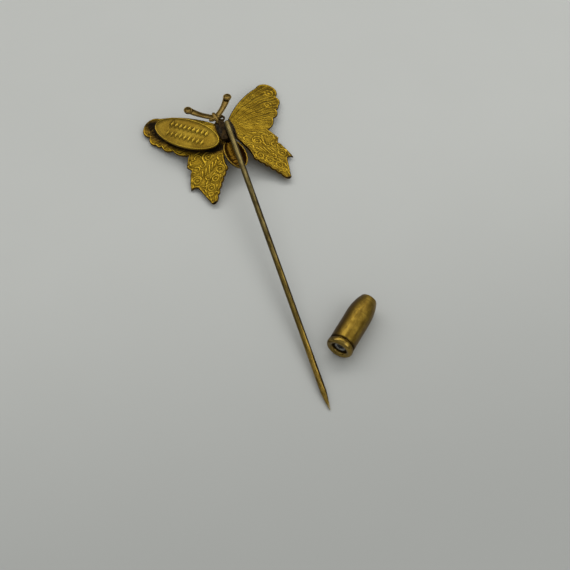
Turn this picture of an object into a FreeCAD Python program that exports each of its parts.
"""Butterfly stick pin with a loose bullet clutch: one STEP per piece, in millimetres.

The pin lies face down on a table: +Z up, Z = 0 the table, the wire stem along Y with its head at +Y.
The clutch lies on the table beside the point. The origin is under the middle of the whole object.

Two frames are used while modelling:
  pin frame   the stem's axis is the Y axis, with the sharp point at 0
  head frame  the butterfly's own: x across the wings, y towards the head, z out of its back
"""

import FreeCAD, Part
import math
import os

from FreeCAD import Vector

# ---- stem -------------------------------------------------------------------------------------
wire_diameter = 1.10
stem_length = 62.0
point_length = 3.4
point_tip_diameter = 0.16
stem_covered = 12.0             # length at the cut end that the butterfly and its solder take up

# ---- where the butterfly sits on the stem ------------------------------------------------------
head_frame_from_top = 1.35      # head frame's origin, back along the stem from its cut end
head_frame_aside = -0.42        # and to the side of it
head_yaw = 5.8                  # degrees that the butterfly is turned on the stem

# ---- wings ------------------------------------------------------------------------------------
wing_thickness = 0.50
wing_droop = 18.7               # degrees that each wing slopes down from the body line
wing_size = 1.0                 # scale of the outline below

# One stamped wing, from the root's head end round to its tail end. Two points after a name are
# an arc's middle and end; one point is a straight edge's end.
WING_ROOT_START = (1.2, 2.4)
WING_OUTLINE = [
    ("leading_edge", (6.0, 7.1), (10.6, 9.85)),
    ("apex", (13.5, 10.4), (14.75, 8.9)),
    ("apex_lobe", (14.6, 7.8), (13.95, 7.1)),
    ("first_scallop", (14.35, 5.7), (12.6, 3.75)),
    ("second_scallop", (12.4, 2.6), (11.0, 1.75)),
    ("third_scallop", (10.5, 0.45), (8.6, -0.95)),
    ("hindwing_shoulder", (9.3, -2.0), (9.95, -3.15)),
    ("shoulder_notch", (9.35, -4.25)),
    ("short_tail_outer", (10.35, -6.05), (11.0, -8.2)),
    ("short_tail_inner", (10.2, -8.0), (9.6, -8.3)),
    ("long_tail_outer", (9.15, -10.4), (8.6, -12.3)),
    ("long_tail_tip", (8.25, -12.95), (7.65, -12.95)),
    ("hindwing_hem", (5.4, -9.7), (2.85, -7.4)),
    ("inner_edge", (2.6, -4.9), (1.1, -1.8)),
    ("root", (1.2, 2.4)),
]

# ---- body shell: thorax and abdomen in one hollow stamping ---------------------------------------
body_aside = -0.55              # its axis, across from the head frame's origin
body_yaw = 3.2                  # degrees that it is turned in the head frame
body_sheet = 0.40
abdomen_length = 7.0
abdomen_width = 4.0
abdomen_depth = 2.0
abdomen_middle = -5.2           # along the body axis
thorax_length = 5.6
thorax_width = 3.3
thorax_depth = 1.9
thorax_middle = 0.3
body_rim_level = -0.35          # the open rim, below the head frame's origin

# ---- head and antennae: one stamping -------------------------------------------------------------
head_middle = 3.6               # along the body axis
head_sheet = 0.45
head_reach = 1.45               # centre to the tip of each of the four points
head_waist = 0.62               # centre to the hollow between two points
antenna_spread = 46.0           # degrees from the body axis
antenna_length = 5.7            # head centre to cup centre
antenna_root_width = 0.62
antenna_end_width = 0.90
antenna_bow = 0.25
cup_diameter = 1.45
cup_sheet = 0.22

# ---- strap across the thorax ----------------------------------------------------------------------
strap_width = 1.30
strap_sheet = 0.40
strap_underside = 0.10          # above the head frame's origin, where it is let into the wing roots
strap_length = 4.6
strap_middle = (-0.62, 0.35)
strap_yaw = -11.0               # degrees in the head frame
eyelet_diameter = 1.25
eyelet_hole = 0.50
eyelet_height = 0.55

# ---- maker's plate and the lump that holds it -------------------------------------------------------
plate_length = 13.8
plate_width = 6.1
plate_sheet = 0.55
plate_bevel = 0.18
plate_middle = (-6.95, 2.8)     # in the head frame, seen from its back
plate_turn = 133.0              # degrees, long axis from the head frame's x axis
plate_droop = 13.0              # degrees, less than the wing that it stands on
plate_standoff = 0.95           # from the wing's back to the plate's underside, at its middle
plate_lump_length = 12.2
plate_lump_width = 5.0

# ---- solder ---------------------------------------------------------------------------------------
root_solder_length = 3.4
root_solder_width = 1.0
root_solder_aside = 1.25
stem_solder_length = 2.8
stem_solder_width = 1.5

# ---- clutch ---------------------------------------------------------------------------------------
clutch_length = 12.0
clutch_diameter = 4.65
clutch_wall = 0.25
clutch_nose_start = 7.4         # where the straight side ends, from the mouth
clutch_cap_diameter = 3.2       # the round cap at the closed end
clutch_cap_height = 0.65
mouth_ring_lip = 0.10           # radial, the ring stands proud of the shell
mouth_ring_length = 1.30
mouth_opening = 2.60
mouth_ring_round = 0.45
ring_spigot_length = 0.85
washer_depth = 0.60             # from the mouth to the washer's face
washer_sheet = 0.40
liner_end = 9.4                 # from the mouth
liner_nose_share = 0.8          # the liner's radius at its nose end, of its radius along the side
stem_hole_clearance = 0.03      # radial, wire in the washer and the liner
clutch_mouth = (4.61, 9.36)     # in plan, from the stem's sharp end
clutch_heading = 46.3           # degrees from the stem towards +X, mouth to nose

# ---- derived --------------------------------------------------------------------------------------
wire_radius = wire_diameter / 2
strap_top = strap_underside + strap_sheet
stem_height = strap_top + wire_radius       # the stem lies on the strap
stem_hole_radius = wire_radius + stem_hole_clearance
mouth_ring_radius = clutch_diameter / 2 + mouth_ring_lip
X, Y, Z = Vector(1, 0, 0), Vector(0, 1, 0), Vector(0, 0, 1)
O = Vector(0, 0, 0)


def turned(shape, axis, degrees, centre=O):
    """A copy of shape, turned about an axis through centre."""
    copy = shape.copy()
    copy.rotate(centre, axis, degrees)
    return copy


def moved(shape, x=0.0, y=0.0, z=0.0):
    """A copy of shape, shifted."""
    copy = shape.copy()
    copy.translate(Vector(x, y, z))
    return copy


def outline_face(start, pieces, scale=1.0):
    """The flat face inside an outline of arcs and straight edges, in the XY plane."""
    here = Vector(*start, 0) * scale
    edges = []
    for piece in pieces:
        points = [Vector(*p, 0) * scale for p in piece[1:]]
        if len(points) == 2:
            edges.append(Part.Arc(here, points[0], points[1]).toShape())
        else:
            edges.append(Part.LineSegment(here, points[0]).toShape())
        here = points[-1]
    return Part.Face(Part.Wire(edges))


def ellipsoid(length_x, length_y, length_z):
    """An ellipsoid with these full lengths, at the origin."""
    matrix = FreeCAD.Matrix()
    matrix.scale(length_x / 2, length_y / 2, length_z / 2)
    return Part.makeSphere(1.0).transformGeometry(matrix)


def capsule(length, width):
    """A round-ended rod along the Y axis, with its middle at the origin."""
    radius = width / 2
    reach = length / 2 - radius
    rod = Part.makeCylinder(radius, 2 * reach, Y * -reach, Y)
    ends = [Part.makeSphere(radius, Y * reach), Part.makeSphere(radius, Y * -reach)]
    return rod.fuse(ends).removeSplitter()


def revolved(points):
    """A solid turned about the Y axis. Points are (radius, along), and an arc's end adds its middle."""
    here = Vector(points[0][0], points[0][1], 0)
    edges = []
    for point in points[1:] + points[:1]:
        end = Vector(point[0], point[1], 0)
        if len(point) == 3:
            edges.append(Part.Arc(here, Vector(*point[2], 0), end).toShape())
        else:
            edges.append(Part.LineSegment(here, end).toShape())
        here = end
    return Part.Face(Part.Wire(edges)).revolve(O, Y, 360)


def tight_box(shapes):
    """The exact box round some shapes."""
    return Part.makeCompound(list(shapes)).optimalBoundingBox(False, False)


def largest_solid(shape):
    """The main solid of a cut, without the crumbs beside it."""
    return max(shape.Solids, key=lambda solid: solid.Volume)


def in_pin_frame(shape):
    """From the head frame to the pin frame."""
    copy = turned(shape, Z, head_yaw)
    return moved(copy, head_frame_aside, stem_length - head_frame_from_top, -stem_height)


def on_body_axis(shape):
    """From the body shell's own axis to the head frame."""
    return moved(turned(shape, Z, body_yaw), body_aside, 0, 0)


# ---- wings --------------------------------------------------------------------------------------
def make_right_wing():
    face = outline_face(WING_ROOT_START, WING_OUTLINE, wing_size)
    plate = moved(face.extrude(Z * wing_thickness), 0, 0, -wing_thickness / 2)
    return turned(plate, Y, wing_droop)


# ---- body shell ---------------------------------------------------------------------------------
def body_lobes(shrink):
    """Thorax and abdomen as one solid form, smaller all round by shrink."""
    both = 2 * shrink
    abdomen = ellipsoid(abdomen_width - both, abdomen_length - both, 2 * abdomen_depth - both)
    thorax = ellipsoid(thorax_width - both, thorax_length - both, 2 * thorax_depth - both)
    abdomen = moved(abdomen, 0, abdomen_middle, body_rim_level)
    return abdomen.fuse(moved(thorax, 0, thorax_middle, body_rim_level))


def make_body_shell(wings):
    shell = body_lobes(0).cut(body_lobes(body_sheet))
    room = 4 * abdomen_length
    above = Part.makeBox(room, room, room, Vector(-room / 2, -room / 2, body_rim_level))
    shell = on_body_axis(shell.cut(above))
    for wing in wings:
        shell = shell.cut(wing)
    return largest_solid(shell)


# ---- head and antennae --------------------------------------------------------------------------
def head_star():
    """The four-pointed head, with hollow sides."""
    points = []
    for quarter in range(4):
        waist = math.radians(90 * quarter + 45)
        tip = math.radians(90 * quarter + 90)
        points.append(
            (
                "side",
                (head_waist * math.cos(waist), head_waist * math.sin(waist)),
                (head_reach * math.cos(tip), head_reach * math.sin(tip)),
            )
        )
    face = outline_face((head_reach, 0), points)
    return face.extrude(Z * head_sheet)


def antenna(side):
    """One strip, from the head's centre to its cup; side is 1 on the right and -1 on the left."""
    root, end = antenna_root_width / 2, antenna_end_width / 2
    strip = outline_face(
        (-root, 0),
        [
            ("root", (root, 0)),
            ("outer", (root + antenna_bow, antenna_length / 2), (end, antenna_length)),
            ("tip", (-end, antenna_length)),
            ("inner", (-root + antenna_bow, antenna_length / 2), (-root, 0)),
        ],
    ).extrude(Z * head_sheet)
    radius = cup_diameter / 2
    room = Part.makeBox(4 * radius, 4 * radius, 4 * radius, Vector(-2 * radius, -2 * radius, 0))
    outer = Part.makeSphere(radius).cut(room)
    hollow = Part.makeSphere(radius - cup_sheet)
    cup_place = Vector(0, antenna_length, head_sheet)
    outer.translate(cup_place)
    hollow.translate(cup_place)
    whole = strip.fuse(outer).cut(hollow)
    if side > 0:
        whole = whole.mirror(O, X)
    return turned(whole, Z, -side * antenna_spread)


def make_antennae():
    stamping = head_star().fuse([antenna(1), antenna(-1)]).removeSplitter()
    stamping = moved(stamping, 0, head_middle, body_rim_level)
    return largest_solid(on_body_axis(stamping))


# ---- strap --------------------------------------------------------------------------------------
def make_strap():
    half = strap_length / 2
    band = Part.makeBox(strap_width, strap_length, strap_sheet, Vector(-strap_width / 2, -half, 0))
    ring = Part.makeCylinder(eyelet_diameter / 2, eyelet_height, O, Z)
    hole = Part.makeCylinder(eyelet_hole / 2, 4 * eyelet_height, Vector(0, 0, -eyelet_height), Z)
    eyelet_place = Vector(strap_width / 4, half + eyelet_diameter / 4, 0)
    ring.translate(eyelet_place)
    hole.translate(eyelet_place)
    strap = turned(band.fuse(ring).cut(hole), Z, strap_yaw)
    return moved(strap, strap_middle[0], strap_middle[1], strap_underside)


# ---- stem ---------------------------------------------------------------------------------------
def make_stem():
    """In the pin frame: a cut wire with a long ground point."""
    point = Part.makeCone(point_tip_diameter / 2, wire_radius, point_length, O, Y)
    shank = Part.makeCylinder(wire_radius, stem_length - point_length, Y * point_length, Y)
    return point.fuse(shank).removeSplitter()


# ---- plate --------------------------------------------------------------------------------------
def oval(length, width, height):
    """An upright oval block on the XY plane."""
    edge = Part.Ellipse(O, length / 2, width / 2).toShape()
    return Part.Face(Part.Wire([edge])).extrude(Z * height)


def on_plate(shape):
    """From the plate's own frame, its underside at 0, to the head frame."""
    x, y = plate_middle
    droop = math.radians(wing_droop)
    wing_back = x * math.tan(droop) + wing_thickness / 2 / math.cos(droop)
    copy = turned(turned(shape, Z, plate_turn), Y, -plate_droop)
    return moved(copy, x, y, wing_back + plate_standoff)


def make_plate():
    blank = oval(plate_length, plate_width, plate_sheet)
    top = [edge for edge in blank.Edges if edge.CenterOfMass.z > plate_sheet - plate_bevel]
    return on_plate(blank.makeChamfer(plate_bevel, top))


def make_plate_lump(wing):
    """The dark lump between wing and plate, cut to fit both."""
    depth = 3 * plate_standoff + wing_thickness
    lump = on_plate(moved(oval(plate_lump_length, plate_lump_width, depth), 0, 0, -depth))
    room = 4 * plate_length
    below = Part.makeBox(room, room, room, Vector(-room / 2, -room / 2, -room + wing_thickness / 2))
    return largest_solid(lump.cut(turned(below, Y, -wing_droop)))


# ---- solder -------------------------------------------------------------------------------------
def make_root_solder(side, pieces):
    """The lump on one wing's root, resting on the body shell's rim beside the strap."""
    lump = capsule(root_solder_length, root_solder_width)
    level = body_rim_level + root_solder_width / 2
    lump = moved(lump, side * root_solder_aside, strap_middle[1], level)
    for piece in pieces:
        lump = lump.cut(piece)
    return largest_solid(lump)


def make_stem_solder(stem, pieces):
    """The fillet along the underside of the stem, between the strap and the right wing's root."""
    middle = stem_length - head_frame_from_top
    lump = capsule(stem_solder_length, stem_solder_width)
    lump = moved(lump, 0, middle, -wire_radius).cut(stem)
    for piece in pieces:
        lump = lump.cut(piece)
    return largest_solid(lump)


# ---- clutch, with its axis along +Y and its mouth at 0 ---------------------------------------------
def nose_middle(radius, end_radius, start, end):
    """Radius and place of the middle of the nose's arc, which leaves the side without a corner."""
    run, rise = end - start, radius - end_radius
    arc_radius = (run * run + rise * rise) / (2 * rise)
    half = 0.5 * math.asin(run / arc_radius)
    return (radius - arc_radius * (1 - math.cos(half)), start + arc_radius * math.sin(half))


def make_clutch_pieces():
    outer, inner = clutch_diameter / 2, clutch_diameter / 2 - clutch_wall
    cap, inner_cap = clutch_cap_diameter / 2, clutch_cap_diameter / 2 - clutch_wall
    cap_start = clutch_length - clutch_cap_height
    cap_radius = (cap * cap + clutch_cap_height**2) / (2 * clutch_cap_height)
    cap_angle = 0.5 * math.asin(cap / cap_radius)
    cap_middle = (cap_radius * math.sin(cap_angle), clutch_length - cap_radius * (1 - math.cos(cap_angle)))
    inner_end = cap_start - clutch_wall
    shell = revolved(
        [
            (inner, mouth_ring_length),
            (outer, mouth_ring_length),
            (outer, clutch_nose_start),
            (cap, cap_start, nose_middle(outer, cap, clutch_nose_start, cap_start)),
            (0, clutch_length, cap_middle),
            (0, inner_end),
            (inner_cap, inner_end),
            (inner, clutch_nose_start, nose_middle(inner, inner_cap, clutch_nose_start, inner_end)),
        ]
    )
    ring_radius, opening = mouth_ring_radius, mouth_opening / 2
    round_off = mouth_ring_round * (1 - math.sqrt(0.5))
    spigot_end = mouth_ring_length + ring_spigot_length
    ring = revolved(
        [
            (opening, 0),
            (ring_radius - mouth_ring_round, 0),
            (ring_radius, mouth_ring_round, (ring_radius - round_off, round_off)),
            (ring_radius, mouth_ring_length - mouth_ring_round),
            (
                ring_radius - mouth_ring_round,
                mouth_ring_length,
                (ring_radius - round_off, mouth_ring_length - round_off),
            ),
            (inner, mouth_ring_length),
            (inner, spigot_end),
            (opening, spigot_end),
        ]
    )
    washer_back = washer_depth + washer_sheet
    washer = revolved(
        [
            (stem_hole_radius, washer_depth),
            (opening, washer_depth),
            (opening, washer_back),
            (stem_hole_radius, washer_back),
        ]
    )
    liner = revolved(
        [
            (stem_hole_radius, washer_back),
            (opening, washer_back),
            (opening, spigot_end),
            (inner, spigot_end),
            (inner, clutch_nose_start),
            (inner * liner_nose_share, liner_end),
            (stem_hole_radius, liner_end),
        ]
    )
    return {
        "clutch_shell": shell,
        "clutch_mouth_ring": ring,
        "clutch_washer": washer,
        "clutch_liner": liner,
    }


# ---- assembly -----------------------------------------------------------------------------------
def make_head_pieces():
    """Everything on the stem's head end, in the pin frame."""
    right_wing = make_right_wing()
    left_wing = right_wing.mirror(O, X)
    wings = [left_wing, right_wing]
    body_shell = make_body_shell(wings)
    strap = make_strap()
    for wing in wings:
        strap = strap.cut(wing)
    strap = largest_solid(strap)
    antennae = largest_solid(make_antennae().cut(body_shell.fuse(strap)))
    left_solder = make_root_solder(-1, [left_wing, strap])
    right_solder = make_root_solder(1, [right_wing, strap])
    return {
        "right_wing": right_wing,
        "left_wing": left_wing,
        "body_shell": body_shell,
        "antennae": antennae,
        "thorax_strap": strap,
        "left_wing_solder": left_solder,
        "right_wing_solder": right_solder,
        "oval_plate": make_plate(),
        "plate_solder": make_plate_lump(left_wing),
    }


def resting_tilt(wing_shape):
    """Degrees that the pin leans so that its wing tips and its point both touch the table."""
    steepest = 0.0
    for vertex in wing_shape.Vertexes:
        fall = -vertex.Point.z - wire_radius
        steepest = max(steepest, math.atan2(fall, vertex.Point.y - point_length))
    return math.degrees(steepest)


def build():
    pieces = {name: in_pin_frame(shape) for name, shape in make_head_pieces().items()}
    stem = make_stem()
    neighbours = [pieces[name] for name in ("thorax_strap", "right_wing_solder", "right_wing")]
    pieces["stem"] = stem
    pieces["stem_solder"] = make_stem_solder(stem, neighbours)
    tilt = resting_tilt(Part.makeCompound([pieces["left_wing"], pieces["right_wing"]]))
    pieces = {name: turned(shape, X, tilt) for name, shape in pieces.items()}
    ground = tight_box(pieces.values()).ZMin
    pieces = {name: moved(shape, 0, 0, -ground) for name, shape in pieces.items()}
    for name, shape in make_clutch_pieces().items():
        laid = turned(shape, Z, -clutch_heading)
        pieces[name] = moved(laid, clutch_mouth[0], clutch_mouth[1], mouth_ring_radius)
    box = tight_box(pieces.values())
    shift = Vector(-(box.XMin + box.XMax) / 2, -(box.YMin + box.YMax) / 2, -box.ZMin)
    return {name: moved(shape, *shift) for name, shape in pieces.items()}, tilt, -ground, shift


def report_places(tilt, lift, shift):
    """Print the places that the record repeats, in millimetres."""
    lean = math.radians(tilt)
    free_end = stem_length - stem_covered
    middle = (point_length + free_end) / 2
    stem_middle = Vector(0, middle * math.cos(lean), middle * math.sin(lean) + lift) + shift
    heading = math.radians(clutch_heading)
    axis = Vector(math.sin(heading), math.cos(heading), 0)
    mouth = Vector(clutch_mouth[0], clutch_mouth[1], mouth_ring_radius) + shift
    hole_middle = mouth + axis * ((washer_depth + liner_end) / 2)
    print("stem mount", tuple(stem_middle), "axis", (0, -math.cos(lean), -math.sin(lean)))
    print("stem mount length", free_end - point_length, "tilt", tilt, "shift", tuple(shift))
    print("clutch hole", tuple(hole_middle), "out of mouth", tuple(axis * -1))
    print("clutch hole length", liner_end - washer_depth, "radius", stem_hole_radius)


os.makedirs("parts", exist_ok=True)
shapes, lean_angle, table_lift, plan_shift = build()
for node, solid in shapes.items():
    solid.exportStep(f"parts/{node}.step")
    print(f"{node}: {len(solid.Solids)} solid, {solid.Volume:.2f} mm3, valid {solid.isValid()}")
report_places(lean_angle, table_lift, plan_shift)
